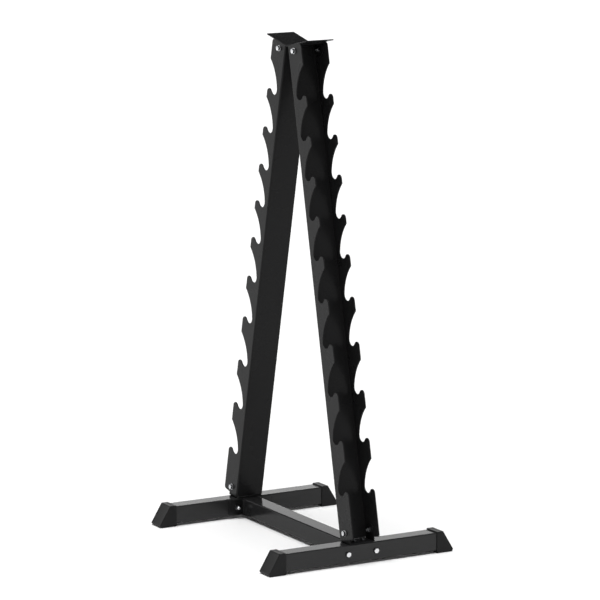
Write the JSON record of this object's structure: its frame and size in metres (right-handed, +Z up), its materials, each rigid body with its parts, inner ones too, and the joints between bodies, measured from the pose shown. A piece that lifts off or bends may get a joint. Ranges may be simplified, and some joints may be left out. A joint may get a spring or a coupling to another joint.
{
  "type": "dumbbell rack",
  "caption": "Free-standing A-shaped steel rack with hooked rests for dumbbells on both sides, on square foot tubes with moulded caps.",
  "frame": {"origin": "on the floor, midway between the four feet", "axes": "+X along the dumbbell handles and the foot tubes, +Y from the front upright to the rear one, +Z up"},
  "size_m": [0.5822, 0.7224, 1.4087],
  "materials": {
    "upright_paint": "satin black powder coat",
    "tube_paint": "semi-gloss black powder coat",
    "plate_paint": "satin black powder coat",
    "bracket_paint": "satin black powder coat",
    "cap_plastic": "fine grained black moulding",
    "zinc": "bright zinc plate"
  },
  "bodies": {
    "root": {"front_upright": "upright_paint", "rear_upright": "upright_paint", "top_plate": "plate_paint", "front_top_bracket": "bracket_paint", "rear_top_bracket": "bracket_paint", "front_foot_bracket": "bracket_paint", "rear_foot_bracket": "bracket_paint", "front_foot_tube": "tube_paint", "rear_foot_tube": "tube_paint", "base_beam": "tube_paint", "front_beam_plate": "plate_paint", "rear_beam_plate": "plate_paint", "front_left_foot_cap": "cap_plastic", "front_right_foot_cap": "cap_plastic", "rear_left_foot_cap": "cap_plastic", "rear_right_foot_cap": "cap_plastic", "lower_flange_bolts": "zinc", "upper_flange_bolts": "zinc", "lower_flange_washers": "zinc", "upper_flange_washers": "zinc", "lower_flange_nuts": "zinc", "upper_flange_nuts": "zinc", "bracket_base_bolts": "zinc", "foot_tube_weld_nuts": "zinc", "beam_bolts": "zinc", "beam_bolt_washers": "zinc", "beam_bolt_nuts": "zinc"}
  },
  "joints": []
}
